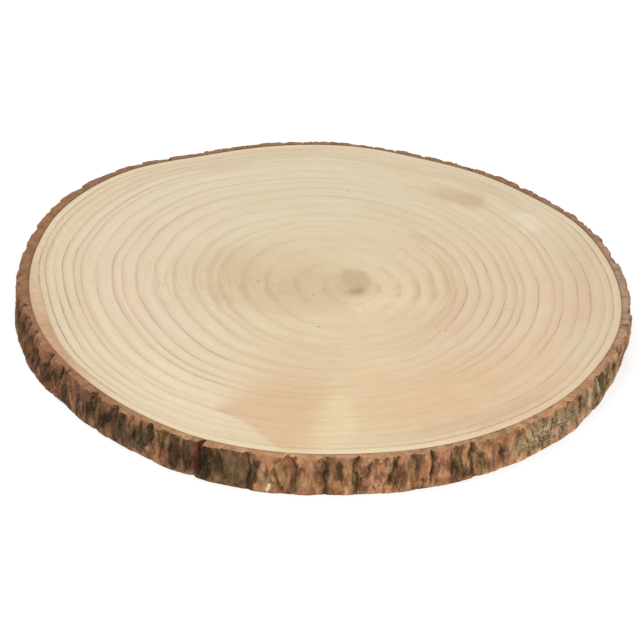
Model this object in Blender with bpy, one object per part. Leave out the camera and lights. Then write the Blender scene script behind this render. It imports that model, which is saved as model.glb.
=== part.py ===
# A slice sawn across a tree trunk, lying flat: a round of pale wood in the ring of bark that grew on it.
# One saw cut made each face, so the wood and the bark are level with each other, above and underneath.
import math
import random

import bmesh
import bpy
import numpy as np

MM = 0.001
TURN = 2 * math.pi

# The whole slice. Directions are degrees round the pith, anticlockwise from +X, seen from above.
THICKNESS = 20.0 * MM
SEAM = 0.3 * MM

# The wood: how far its edge lies from the pith, every 15 degrees.
WOOD_EDGE = MM * np.array([
    150.5, 152.0, 155.5, 157.0, 162.5, 168.5, 179.5, 186.5, 192.0, 203.5, 203.0, 194.5,
    186.0, 178.2, 170.6, 166.0, 163.5, 159.5, 155.5, 154.0, 152.5, 151.0, 149.5, 150.0,
])
WOOD_SIDES = 240

# The pith is soft and has dried away into a small pit at each face.
PITH_RADIUS = 2.4 * MM
PITH_DEPTH = 1.5 * MM
PITH_SIDES = 12

# The bark: how thick it is between furrows, every 30 degrees. The trunk was not quite square to the saw, so
# its side stands out at the foot on one hand and in on the other. Its upper edge is worn back. Both are given
# every 15 degrees.
BARK_DEPTH = MM * np.array([5.8, 5.2, 5.4, 5.4, 5.4, 6.9, 7.6, 7.4, 6.8, 6.8, 6.8, 6.0])
THINNEST_BARK = 1.6 * MM
FOOT_OUT = MM * np.array([
    0.0, 0.0, 0.0, 0.0, 0.0, 0.0, 0.0, 0.0, 0.0, 0.0, 0.8, 2.2,
    2.5, 1.7, 0.8, 0.8, 1.3, 1.7, 1.3, 0.6, -0.2, -0.5, -1.7, -1.2,
])
WORN_BACK = MM * np.array([
    0.4, 0.4, 0.4, 0.4, 0.4, 0.4, 0.4, 0.4, 0.4, 0.3, 0.2, 0.6,
    1.6, 3.0, 1.9, 1.6, 1.4, 1.2, 1.1, 1.1, 1.1, 1.1, 0.9, 0.5,
])

# The long furrows of the bark, by direction. Shorter ones between them split it into plates.
LONG_FURROWS = (
    7, 19, 24, 31, 40, 49, 56.5, 62.5, 69.5, 74, 80.5, 85.5, 90, 94.5, 103.5, 114, 119.5, 126, 131,
    144, 153.5, 159, 165.5, 175.5, 185, 194, 201, 208, 217, 222.5, 231, 241.5, 250.5, 257, 263.5,
    269.5, 276, 283, 287.5, 291, 296, 303, 310, 318, 325, 331, 337, 346, 356,
)
DEEPEST_FURROW = 241.5
PLATE_WIDTH = 11.0 * MM
COLUMNS_ACROSS_A_PLATE = 5
CROWN = 0.35 * MM
SHINGLE_TILT = 2.2 * MM
SHINGLE_DIRECTION = math.radians(140)
SHINGLED = (102, 172)
BARK_SEED = 11

# Heights at which the bark's outer side is shaped: close together near the faces, where its edge is broken.
BARK_LEVELS = MM * np.array([0.0, 1.2, 4.5, 8.5, 12.5, 16.0, 18.8, 20.0])
CHIP_REACH = 1.6 * MM
LOWER_CHIP = 0.4


def closed_curve(values, angles):
    """A smooth closed curve through values spaced evenly round the circle, read at angles in radians."""
    place = np.asarray(angles, float) / TURN * len(values)
    index = np.floor(place).astype(int)
    t = place - index
    before, here, after, beyond = (np.take(values, index + step, mode="wrap") for step in (-1, 0, 1, 2))
    bend = 2 * before - 5 * here + 4 * after - beyond
    twist = 3 * (here - after) + beyond - before
    return here + t / 2 * (after - before + t * (bend + t * twist))


def furrow_directions():
    """The long furrows, and between each two of them the short ones, about a plate's width apart."""
    chance = random.Random(BARK_SEED)
    found = []
    for start, end in zip(LONG_FURROWS, LONG_FURROWS[1:] + (LONG_FURROWS[0] + 360,)):
        middle = math.radians((start + end) / 2)
        width = math.radians(end - start) * float(closed_curve(WOOD_EDGE, middle))
        is_shingled = SHINGLED[0] < start < SHINGLED[1]
        plates = max(1, round(width / PLATE_WIDTH / (1.7 if is_shingled else 1)))
        found.append((start, True))
        for step in range(1, plates):
            share = (step + chance.uniform(-0.22, 0.22)) / plates
            found.append((start + share * (end - start), False))
    return found


def grow_bark():
    """Every furrow and the plate after it, as a dict of arrays.

    A furrow leans and bows. It is deepest and widest at its middle height, and "open" and "foot" are the
    shares of that depth which it still has at the upper and the lower face. A plate has its own rise and
    tilt, a ledge part of the way up, and a chip at the sawn edges.
    """
    chance = random.Random(BARK_SEED + 1)
    plates = []
    for direction, is_long in furrow_directions():
        deep = chance.uniform(1.7, 2.9) if is_long else chance.uniform(0.6, 1.7)
        is_deepest = direction == DEEPEST_FURROW
        is_worn = 190 < direction < 235
        plates.append({
            "angle": math.radians(direction),
            "depth": MM * (5.2 if is_deepest else deep),
            "open": 0.85 if is_deepest else chance.uniform(0.1, 0.4) * (1.8 if is_worn else 1),
            "foot": 0.45 if is_deepest else chance.uniform(0, 0.2),
            "half": MM * chance.uniform(0.9, 2.2),
            "middle": THICKNESS * chance.uniform(0.36, 0.62),
            "reach": THICKNESS * chance.uniform(0.22, 0.42),
            "lean": MM * chance.uniform(-3.0, 3.0),
            "bow": MM * chance.uniform(-1.1, 1.1),
            "rise": chance.uniform(0.94, 1.06),
            "tilt": MM * chance.uniform(-0.8, 0.8),
            "ledge": MM * chance.uniform(-0.5, 0.5),
            "ledge_height": THICKNESS * chance.uniform(0.25, 0.75),
            "chip": MM * chance.uniform(0.4, 1.5),
        })
    return {name: np.array([plate[name] for plate in plates]) for name in plates[0]}


def furrow_path(bark, index, height):
    """The direction of a furrow at a height: it leans and bows away from its place at the top face."""
    share = height / THICKNESS
    sideways = bark["lean"][index] * (share - 1) + bark["bow"][index] * np.sin(TURN * share)
    return bark["angle"][index] + sideways / closed_curve(WOOD_EDGE, bark["angle"][index])


def bark_point(bark, plate, across, height):
    """Direction and distance from the pith of a point on the bark, part of the way across a plate."""
    following = (plate + 1) % len(bark["angle"])
    start = furrow_path(bark, plate, height)
    end = furrow_path(bark, following, height) + TURN * (following < plate)
    angle = start + across * (end - start)
    edge = closed_curve(WOOD_EDGE, angle)
    width = (end - start) * edge

    outer = closed_curve(BARK_DEPTH, angle) * bark["rise"][plate]
    shingle = np.maximum(0, np.cos(angle - SHINGLE_DIRECTION)) ** 8
    outer += (bark["tilt"][plate] + SHINGLE_TILT * shingle) * (across - 0.5)
    outer += CROWN * (1 - (2 * across - 1) ** 2)
    outer += bark["ledge"][plate] * np.tanh((height - bark["ledge_height"][plate]) / (1.5 * MM))
    outer += closed_curve(FOOT_OUT, angle) * (1 - height / THICKNESS)
    outer -= closed_curve(WORN_BACK, angle) * (height / THICKNESS) ** 2
    for index, away in ((plate, across * width), (following, (1 - across) * width)):
        swell = np.exp(-(((height - bark["middle"][index]) / bark["reach"][index]) ** 2))
        least = bark["foot"][index] + (bark["open"][index] - bark["foot"][index]) * height / THICKNESS
        deep = bark["depth"][index] * (least + (1 - least) * swell)
        outer -= deep * np.exp(-((away / (bark["half"][index] * (0.6 + 0.7 * swell))) ** 2))
    upper = np.exp((height - THICKNESS) / CHIP_REACH)
    lower = np.exp(-height / CHIP_REACH)
    outer -= bark["chip"][plate] * (upper + LOWER_CHIP * lower)
    return angle, edge + np.maximum(outer, THINNEST_BARK)


def around(angle, distance, height):
    """Points at a direction, a distance from the pith and a height."""
    angle, distance, height = np.broadcast_arrays(angle, distance, height)
    return np.stack([distance * np.cos(angle), distance * np.sin(angle), height], axis=-1)


def bark_columns(bark):
    """Which plate each column of points is on, and how far across it: in the furrow, then on the plate."""
    count = len(bark["angle"])
    plates = np.repeat(np.arange(count), COLUMNS_ACROSS_A_PLATE)
    widths = np.diff(bark["angle"], append=bark["angle"][0] + TURN) * closed_curve(WOOD_EDGE, bark["angle"])
    near = np.minimum(0.25, 1.3 * bark["half"] / widths)
    far = 1 - np.minimum(0.25, 1.3 * np.roll(bark["half"], -1) / widths)
    shoulders = np.linspace(near, far, COLUMNS_ACROSS_A_PLATE - 1, axis=1)
    return plates, np.concatenate([np.zeros((count, 1)), shoulders], axis=1).ravel()


def bark_loops():
    """Closed loops of points round the bark: up its outer side from the underside, then down its inner."""
    bark = grow_bark()
    plates, shares = bark_columns(bark)
    loops = [around(*bark_point(bark, plates, shares, level), level) for level in BARK_LEVELS]
    for level in (THICKNESS, 0.0):
        angle, _ = bark_point(bark, plates, shares, level)
        loops.append(around(angle, closed_curve(WOOD_EDGE, angle) + SEAM, level))
    return loops


def material(name, colour, roughness):
    made = bpy.data.materials.new(name)
    made.use_nodes = True
    shader = made.node_tree.nodes["Principled BSDF"]
    shader.inputs["Base Color"].default_value = (*colour, 1)
    shader.inputs["Roughness"].default_value = roughness
    shader.inputs["Metallic"].default_value = 0
    return made


def new_object(name, bm, finish):
    """Puts a bmesh in the scene as an object, smooth where it is round and sharp at its sawn edges."""
    mesh = bpy.data.meshes.new(name)
    bmesh.ops.recalc_face_normals(bm, faces=bm.faces)
    bm.to_mesh(mesh)
    bm.free()
    mesh.shade_smooth()
    mesh.set_sharp_from_angle(angle=math.radians(35))
    mesh.materials.append(finish)
    made = bpy.data.objects.new(name, mesh)
    bpy.context.scene.collection.objects.link(made)
    return made


def make_bark(loops):
    """The ring of bark: each loop of points joined to the next, and the last to the first."""
    bm = bmesh.new()
    rows = [[bm.verts.new(point) for point in loop] for loop in loops]
    for row, higher in zip(rows, rows[1:] + rows[:1]):
        for i in range(len(row)):
            after = (i + 1) % len(row)
            bm.faces.new((row[i], row[after], higher[after], higher[i]))
    return new_object("bark", bm, material("bark", (0.24, 0.145, 0.085), 0.9))


def pith_cutter(name, pith, face_height):
    """A cone that cuts the pit at one face: half its height stands outside, and its tip is in the wood."""
    lower, upper = (0, 2 * PITH_RADIUS) if face_height else (2 * PITH_RADIUS, 0)
    bm = bmesh.new()
    bmesh.ops.create_cone(
        bm, cap_ends=True, segments=PITH_SIDES, radius1=lower, radius2=upper, depth=2 * PITH_DEPTH
    )
    bmesh.ops.translate(bm, verts=bm.verts, vec=(*pith, face_height))
    cutter = new_object(name, bm, None)
    cutter.hide_render = True
    cutter.display_type = "WIRE"
    return cutter


def make_wood(pith):
    """The round of wood: its outline drawn up into a slab, with the pith's pit cut into both faces."""
    bm = bmesh.new()
    angles = np.arange(WOOD_SIDES) * TURN / WOOD_SIDES
    outline = around(angles, closed_curve(WOOD_EDGE, angles), 0.0) + (*pith, 0)
    face = bm.faces.new([bm.verts.new(point) for point in outline])
    drawn = bmesh.ops.extrude_face_region(bm, geom=[face])
    top = [part for part in drawn["geom"] if isinstance(part, bmesh.types.BMVert)]
    bmesh.ops.translate(bm, verts=top, vec=(0, 0, THICKNESS))
    wood = new_object("wood", bm, material("wood", (0.74, 0.6, 0.41), 0.6))
    for name, face_height in (("pit_below", 0.0), ("pit_above", THICKNESS)):
        cut = wood.modifiers.new(name, "BOOLEAN")
        cut.operation = "DIFFERENCE"
        cut.solver = "EXACT"
        cut.object = pith_cutter(name, pith, face_height)
    return wood


def main():
    for old in list(bpy.data.objects):
        bpy.data.objects.remove(old)
    loops = bark_loops()
    every = np.concatenate(loops)
    middle = (every.min(axis=0) + every.max(axis=0)) / 2
    pith = -middle[:2]
    make_bark([loop + (*pith, 0) for loop in loops])
    make_wood(pith)


main()
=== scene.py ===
import math
import random

import bpy
import numpy as np
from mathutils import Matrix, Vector


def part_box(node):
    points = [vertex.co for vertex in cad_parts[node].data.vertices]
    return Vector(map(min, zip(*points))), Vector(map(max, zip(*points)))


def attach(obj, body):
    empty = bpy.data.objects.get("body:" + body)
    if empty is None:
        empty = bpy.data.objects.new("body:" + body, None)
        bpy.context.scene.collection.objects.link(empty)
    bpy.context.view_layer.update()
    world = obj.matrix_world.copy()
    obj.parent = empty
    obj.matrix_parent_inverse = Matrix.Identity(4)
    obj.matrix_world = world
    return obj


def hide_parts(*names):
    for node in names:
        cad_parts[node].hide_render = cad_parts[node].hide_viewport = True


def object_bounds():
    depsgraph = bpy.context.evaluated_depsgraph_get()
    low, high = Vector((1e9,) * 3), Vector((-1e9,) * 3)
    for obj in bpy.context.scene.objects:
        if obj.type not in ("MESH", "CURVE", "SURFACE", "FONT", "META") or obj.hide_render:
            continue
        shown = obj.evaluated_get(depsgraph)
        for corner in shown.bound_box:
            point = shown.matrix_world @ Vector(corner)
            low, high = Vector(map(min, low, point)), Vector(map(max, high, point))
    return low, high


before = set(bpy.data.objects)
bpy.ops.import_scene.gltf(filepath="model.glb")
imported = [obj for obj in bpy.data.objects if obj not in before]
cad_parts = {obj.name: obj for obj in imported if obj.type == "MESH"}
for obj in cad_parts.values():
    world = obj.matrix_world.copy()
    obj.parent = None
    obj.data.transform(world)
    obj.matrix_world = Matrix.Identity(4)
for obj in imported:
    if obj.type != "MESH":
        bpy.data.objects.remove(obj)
cad_low, cad_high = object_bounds()

# The wood
# A round of pale, fast-grown wood, twenty years across from the pith to the bark. Each year laid down wide open
# early wood and then a thin dark line of late wood. Both faces were sawn across the trunk; the upper one is sanded.
MM = 0.001
TURN = 2 * math.pi
WOOD_EDGE = MM * np.array([
    150.5, 152.0, 155.5, 157.0, 162.5, 168.5, 179.5, 186.5, 192.0, 203.5, 203.0, 194.5,
    186.0, 178.2, 170.6, 166.0, 163.5, 159.5, 155.5, 154.0, 152.5, 151.0, 149.5, 150.0,
])
WOOD_OUTLINE_SIDES = 240
RING_ENDS = np.array([
    0.0, 0.09, 0.165, 0.24, 0.30, 0.355, 0.38, 0.418, 0.467, 0.515, 0.565,
    0.605, 0.635, 0.69, 0.75, 0.782, 0.838, 0.885, 0.935, 0.968, 1.0,
])
RING_LEAD = np.array([
    0.0, 0.004, 0.017, 0.05, 0.075, 0.09, 0.1, 0.115, 0.125, 0.108, 0.1, 0.11,
    0.105, 0.098, 0.105, 0.1, 0.08, 0.065, 0.055, 0.04, 0.025, 0.013, 0.006, 0.002,
])
RING_STEPS_ABOVE = (0.06, 0.25, 0.5, 0.75, 0.93, 1.0)
RING_STEPS_BELOW = (0.5, 1.0)
WOOD_COLUMNS = 440
PITH_RADIUS = 2.4 * MM
PITH_DEPTH = 1.4 * MM
# The darker stretches of the ring lines: first and last ring, direction and spread in degrees, strength.
DARK_LINES = (
    (7, 7, 350, 52, 0.6), (8, 8, 15, 34, 0.3), (9, 9, 350, 62, 0.5), (10, 12, 350, 42, 0.3), (13, 13, 345, 38, 0.5),
    (14, 14, 5, 36, 0.3), (15, 15, 350, 48, 0.42), (16, 16, 355, 28, 0.25), (17, 17, 350, 50, 0.42), (4, 6, 352, 34, 0.2),
    (18, 18, 300, 26, 0.3), (19, 19, 298, 38, 0.65), (19, 19, 8, 26, 0.4), (7, 8, 180, 24, 0.25), (9, 11, 184, 26, 0.25),
    (12, 13, 168, 14, 0.3), (14, 15, 175, 22, 0.42), (15, 15, 224, 20, 0.5), (16, 18, 186, 20, 0.75),
    (19, 19, 190, 25, 1.1), (9, 11, 220, 16, 0.4), (12, 13, 228, 14, 0.3), (8, 12, 252, 14, 0.15), (9, 10, 98, 18, 0.3),
    (18, 18, 108, 15, 0.45), (9, 10, 62, 16, 0.25), (10, 17, 142, 16, 0.16), (8, 9, 288, 12, 0.2),
    (18, 19, 168, 24, 0.8), (9, 19, 178, 28, 0.18),
)
WOOD_CREAM = (226, 211, 180)
# Where the sawn face is stained: direction in degrees, share of the way to the bark, half length along the ray as a
# share, half width across it in mm, how soft the edge is, colour and strength.
STAINS = (
    (90, 0.62, 0.42, 190, 0.9, (220, 207, 178), 0.85),
    (20, 0.18, 0.36, 70, 0.8, (222, 201, 164), 0.6),
    (262, 0.57, 0.47, 60, 0.8, (224, 201, 159), 0.8),
    (180, 0.69, 0.18, 75, 0.8, (230, 209, 183), 0.75),
    (352, 0.7, 0.32, 95, 0.8, (223, 196, 167), 0.85),
    (312, 0.83, 0.2, 48, 0.8, (220, 189, 152), 0.8),
    (288, 0.78, 0.2, 46, 0.7, (221, 186, 148), 0.85),
    (358, 0.89, 0.09, 45, 0.8, (210, 180, 152), 0.8),
    (318, 0.4, 0.1, 40, 0.8, (218, 188, 157), 0.5),
    (254, 0.62, 0.2, 22, 0.8, (218, 190, 155), 0.6),
    (264, 0.82, 0.16, 11, 0.35, (230, 211, 171), 0.8), (74, 0.53, 0.05, 20, 0.8, (214, 192, 160), 0.5),
    (169, 0.24, 0.24, 30, 0.8, (210, 187, 150), 0.85),
    (157, 0.34, 0.07, 22, 0.5, (205, 182, 143), 0.5),
    (110, 0.3, 0.08, 60, 0.9, (218, 196, 161), 0.5),
    (61, 0.79, 0.05, 24, 0.8, (206, 180, 148), 0.7),
    (56, 0.8, 0.055, 10, 0.35, (201, 170, 140), 0.75), (61, 0.79, 0.03, 12, 0.8, (204, 178, 146), 0.5),
    (52, 0.9, 0.04, 30, 0.8, (208, 190, 160), 0.6),
    (56, 0.45, 0.035, 12, 0.6, (205, 180, 147), 0.6),
    (37, 0.84, 0.035, 13, 0.4, (230, 219, 195), 0.85),
    (92, 0.915, 0.028, 120, 0.8, (208, 192, 162), 0.6),
    (133, 0.83, 0.065, 50, 0.8, (227, 216, 196), 0.5),
    (228, 0.85, 0.14, 44, 0.7, (231, 215, 184), 0.9),
    (302, 0.925, 0.035, 72, 0.6, (205, 178, 149), 0.7),
    (355, 0.955, 0.04, 64, 0.5, (219, 203, 172), 0.7), (20, 0.9, 0.06, 26, 0.7, (213, 195, 165), 0.6),
    (335, 0.92, 0.06, 26, 0.6, (216, 200, 170), 0.7), (185, 0.13, 0.16, 22, 0.8, (207, 182, 145), 0.5),
    (332, 0.21, 0.1, 14, 0.8, (230, 213, 175), 0.6),
    (300, 0.12, 0.09, 12, 0.8, (231, 212, 175), 0.6),
    (90, 0.07, 0.073, 10.5, 0.16, (194, 170, 135), 0.85),
    (0, 0, 0.058, 400, 0.15, (198, 174, 139), 0.7),
    (0, 0, 0.02, 9, 0.9, (142, 116, 88), 0.85),
)
# The tan stain in front ends sharply on its left: share of the way to the bark, and direction of that edge.
TAN_EDGE = ((0.6, 0.8, 0.85, 0.865, 0.885, 0.93, 0.98), (242, 238, 238, 244, 247.5, 251, 255))
TAN = (217, 182, 144)
RIM_WIDTH = ((224, 18, 0.018), (190, 16, 0.01))
GOLDEN_RIM = ((199, 13, 1.2), (178, 14, 0.3))
STREAKY_RAYS = ((302, 26, 0.3), (168, 16, 0.9), (190, 14, 0.5), (70, 30, 0.2))
# Where the face has fine streaks that follow the rings: direction and spread in degrees, strength.
CHATTER = ((178, 15, 0.6), (305, 16, 0.3), (340, 22, 0.15))
SPECKS = ((-56, 9, 1.3), (-21, -39, 1.4), (49, -43, 1.2), (-60, 31, 0.9), (12, -24, 0.9), (84, -21, 0.9), (-96, 46, 0.8),
          (-11, 17, 0.7), (-18, 1, 0.8), (-24, -6, 1.0), (-5, -30, 0.8), (-3, 118, 1.0), (-66, 92, 0.8))


def closed_curve(values, angles):
    """A smooth closed curve through values spaced evenly round the circle, read at angles in radians."""
    place = np.asarray(angles, float) / TURN * len(values)
    index = np.floor(place).astype(int)
    t = place - index
    before, here, after, beyond = (np.take(values, index + step, mode="wrap") for step in (-1, 0, 1, 2))
    bend = 2 * before - 5 * here + 4 * after - beyond
    twist = 3 * (here - after) + beyond - before
    return here + t / 2 * (after - before + t * (bend + t * twist))


def smooth_step(low, high, values):
    """0 below low, 1 above high, and 3t^2 - 2t^3 between them."""
    t = np.clip((values - low) / (high - low), 0, 1)
    return t * t * (3 - 2 * t)


def drift(seed, across, up, cells_across, cells_up):
    """A smooth random field from -1 to 1: seeded values at the corners of cells, blended inside each cell.

    across and up count from 0 to 1 over the whole field, which closes on itself in both.
    """
    corners = np.random.default_rng(seed).uniform(-1, 1, (cells_up, cells_across))
    column, row = across * cells_across, up * cells_up
    left, low = np.floor(column).astype(int), np.floor(row).astype(int)
    s, t = column - left, row - low
    s, t = s * s * (3 - 2 * s), t * t * (3 - 2 * t)
    rows = [low % cells_up, (low + 1) % cells_up]
    columns = [left % cells_across, (left + 1) % cells_across]
    lower = corners[rows[0], columns[0]] * (1 - s) + corners[rows[0], columns[1]] * s
    upper = corners[rows[1], columns[0]] * (1 - s) + corners[rows[1], columns[1]] * s
    return lower * (1 - t) + upper * t


def layered_drift(seed, across, up, cells_across, cells_up, layers):
    """Drift in finer and finer cells: each layer has twice the cells and 0.55 of the strength of the last."""
    fields = [
        0.55 ** layer * drift(seed + layer, across, up, cells_across * 2 ** layer, cells_up * 2 ** layer)
        for layer in range(layers)
    ]
    return sum(fields)


def linear(colour):
    """An everyday 0 to 255 colour as the linear values that light adds up in."""
    share = np.asarray(colour, float) / 255
    return np.where(share <= 0.04045, share / 12.92, ((share + 0.055) / 1.055) ** 2.4)


def ring_share(age, angle):
    """How far out a ring is, as a share of the way to the bark.

    The share along +X, plus the lead that the middle rings have in this direction, less the old wound that the
    outer rings dip round, plus a waver of sine waves whose phases drift from ring to ring.
    """
    base = np.interp(age, np.arange(len(RING_ENDS)), RING_ENDS)
    lead = closed_curve(RING_LEAD, angle) * np.sin(math.pi * base ** 1.5) ** 1.3
    from_wound = (angle - math.radians(188)) / math.radians(12)
    wound = 0.018 * np.exp(-from_wound ** 2) * smooth_step(0.65, 0.9, base) * (1 - smooth_step(0.985, 1, base))
    chance = np.random.default_rng(5)
    waver = 0
    for waves in range(3, 34):
        phase, slide = chance.uniform(0, TURN), chance.uniform(-0.35, 0.35)
        waver = waver + 0.0018 * (3 / waves) ** 0.95 * np.sin(waves * angle + phase + slide * age)
    waver = waver * np.minimum(base / 0.3, 1) * np.minimum((1 - base) / 0.06, 1)
    return base + lead - wound + waver


def face_rows(steps):
    """The ages, in years from the pith, that the rows of a face follow: the same few steps in every ring."""
    return np.concatenate([ring + np.array(steps) for ring in range(len(RING_ENDS) - 1)])


def lobes(table, angle):
    """The sum of bell curves round the circle, each with its direction and spread in degrees and its height."""
    total = 0 * angle
    for direction, spread, amount in table:
        away = (np.degrees(angle) - direction + 180) % 360 - 180
        total = total + amount * np.exp(-(away / spread) ** 2)
    return total


def ring_seen(age, angle):
    """How clearly the rings show: more at both sides than behind and in front, the first seven mostly towards +X."""
    seen = 1 + lobes(((92, 36, -0.6), (276, 34, -0.72), (178, 32, 0.35), (2, 38, 0.25)), angle)
    first = 0.4 + lobes(((0, 40, 0.6), (180, 34, 0.45)), angle)
    return seen * (1 + smooth_step(7.6, 6.6, np.round(age)) * (first - 1))


def line_strength(age, angle):
    """How dark the nearest ring line is: faint all round, with the darker stretches of each ring added."""
    ring = np.round(age)
    total = 0.14 * ring_seen(age, angle)
    for first, last, direction, spread, strength in DARK_LINES:
        total += lobes(((direction, spread, strength),), angle) * (ring >= first) * (ring <= last)
    return total


def face_colour(angle, share, stained):
    """The cream of the wood with each stain laid over it in turn, its edge pushed about by a drift.

    A stain is an ellipse bent round the pith: one axis runs along the ray and the other along the rings.
    """
    across, up = share * np.cos(angle) / 2.2 + 0.5, share * np.sin(angle) / 2.2 + 0.5
    out = share + 0.025 * layered_drift(21, across, up, 16, 16, 3)
    push = 4 * layered_drift(31, across, up, 16, 16, 3)
    reach = share * WOOD_EDGE.mean() / MM
    colour = np.ones(angle.shape + (3,)) * linear(WOOD_CREAM)
    cloud = layered_drift(51, across, up, 14, 14, 4)[..., None]
    colour = colour * (1 + np.array([0.012, 0.026, 0.045]) * cloud)
    for direction, centre, length, width, soft, stain, strength in STAINS:
        turned = (angle - math.radians(direction) + math.pi) % TURN - math.pi
        along, aside = (out - centre) / length, (reach * turned + push) / width
        cover = strength * stained * (1 - smooth_step(1 - soft, 1 + soft, np.hypot(along, aside)))
        cover *= 0.9 + 0.18 * layered_drift(41, across, up, 30, 30, 2)
        colour += (linear(stain) - colour) * cover[..., None]
    past_edge = reach * (angle - np.radians(np.interp(share, *TAN_EDGE))) + 0.25 * push
    soft = np.interp(share, (0.7, 0.86), (22, 0.8))
    cover = smooth_step(-soft, soft, past_edge) * (1 - smooth_step(4.45, 4.63, angle)) * smooth_step(0.5, 0.75, share)
    colour += (linear(TAN) - colour) * (0.85 * stained * cover)[..., None]
    return colour


def closed_grid(name, points, ends_meet):
    """A mesh from rows of points that run round: rows join the next, and the last row joins the first if ends_meet.

    If the ends don't meet, the first and last rows are each drawn to one point, and end in a fan of triangles.
    """
    rows, columns = points.shape[:2]
    across = np.arange(columns)
    after = (across + 1) % columns
    if ends_meet:
        lower = np.arange(rows)[:, None] * columns
        upper = (np.arange(rows)[:, None] + 1) % rows * columns
        faces = np.stack([lower + across, lower + after, upper + after, upper + across], -1).reshape(-1, 4).tolist()
        places = points.reshape(-1, 3)
    else:
        lower = np.arange(rows - 3)[:, None] * columns
        upper = lower + columns
        faces = np.stack([lower + across, lower + after, upper + after, upper + across], -1).reshape(-1, 4).tolist()
        last = (rows - 3) * columns
        first_end, last_end = (rows - 2) * columns, (rows - 2) * columns + 1
        faces += np.stack([after, across, np.full(columns, first_end)], -1).tolist()
        faces += np.stack([last + across, last + after, np.full(columns, last_end)], -1).tolist()
        places = np.concatenate([points[1:-1].reshape(-1, 3), points[:1, 0], points[-1:, 0]])
    mesh = bpy.data.meshes.new(name)
    mesh.from_pydata(places, [], faces)
    mesh.shade_smooth()
    mesh.set_sharp_from_angle(angle=math.radians(60))
    made = bpy.data.objects.new(name, mesh)
    bpy.context.scene.collection.objects.link(made)
    return made


def grid_values(values, ends_meet):
    """The values of a grid in the order of its mesh's points."""
    if ends_meet:
        return values.reshape(-1, *values.shape[2:])
    return np.concatenate([values[1:-1].reshape(-1, *values.shape[2:]), values[:1, 0], values[-1:, 0]])


def set_attribute(piece, name, values, ends_meet):
    """Gives each point of the piece a number, or three, that its material reads by name."""
    values = grid_values(values, ends_meet)
    if values.ndim == 2:
        made = piece.data.attributes.new(name, "FLOAT_VECTOR", "POINT")
        made.data.foreach_set("vector", values.ravel())
    else:
        made = piece.data.attributes.new(name, "FLOAT", "POINT")
        made.data.foreach_set("value", values.ravel())


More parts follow.
